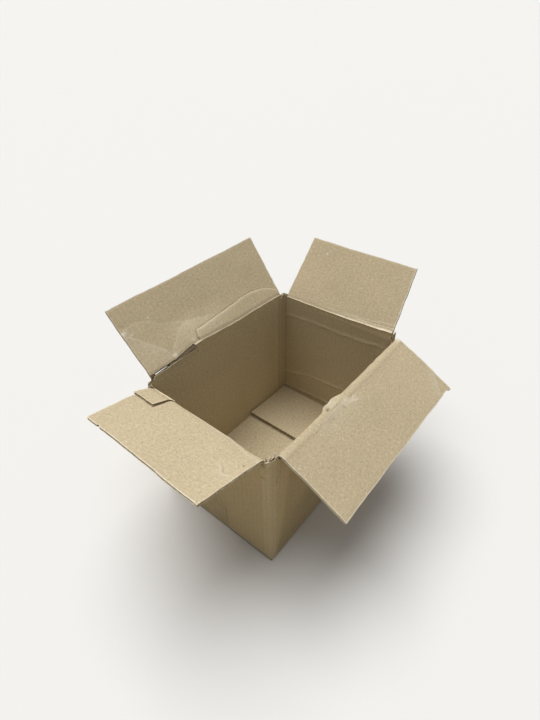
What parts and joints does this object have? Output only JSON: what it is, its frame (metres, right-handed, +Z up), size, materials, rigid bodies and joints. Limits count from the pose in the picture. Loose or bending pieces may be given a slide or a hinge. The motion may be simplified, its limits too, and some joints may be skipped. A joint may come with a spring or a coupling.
{
  "type": "open cardboard box",
  "caption": "Open corrugated cardboard shipping box, longer than wide, with a taped bottom and top flaps that each swing on their fold from hanging outside to closed.",
  "frame": {"origin": "middle of the underside of the closed bottom, on the seam that the tape covers", "axes": "+X along the long side, +Y along the short side towards the flap that stands steepest, +Z up"},
  "size_m": [0.46, 0.3645, 0.2965],
  "materials": {
    "kraft_board": "recycled kraft paper liner, matt and speckled",
    "packing_tape": "clear brown packing tape, glossy"
  },
  "bodies": {
    "box": {"box_body": "kraft_board", "bottom_tape": "packing_tape"},
    "flap_front": {"top_flap_front": "kraft_board"},
    "flap_back": {"top_flap_back": "kraft_board"},
    "flap_left": {"top_flap_left": "kraft_board"},
    "flap_right": {"top_flap_right": "kraft_board"}
  },
  "joints": [
    {"name": "front_fold", "type": "hinge", "parent": "box", "child": "flap_front", "pos_m": [0, -0.104, 0.213], "axis": [-1, 0, 0], "range_deg": [-50.5, 209.5]},
    {"name": "back_fold", "type": "hinge", "parent": "box", "child": "flap_back", "pos_m": [0, 0.104, 0.213], "axis": [1, 0, 0], "range_deg": [-131.5, 128.5]},
    {"name": "left_fold", "type": "hinge", "parent": "box", "child": "flap_left", "pos_m": [-0.147, 0, 0.2087], "axis": [0, 1, 0], "range_deg": [-96.7, 163.3]},
    {"name": "right_fold", "type": "hinge", "parent": "box", "child": "flap_right", "pos_m": [0.147, 0, 0.2087], "axis": [0, -1, 0], "range_deg": [-129.7, 130.3]}
  ]
}
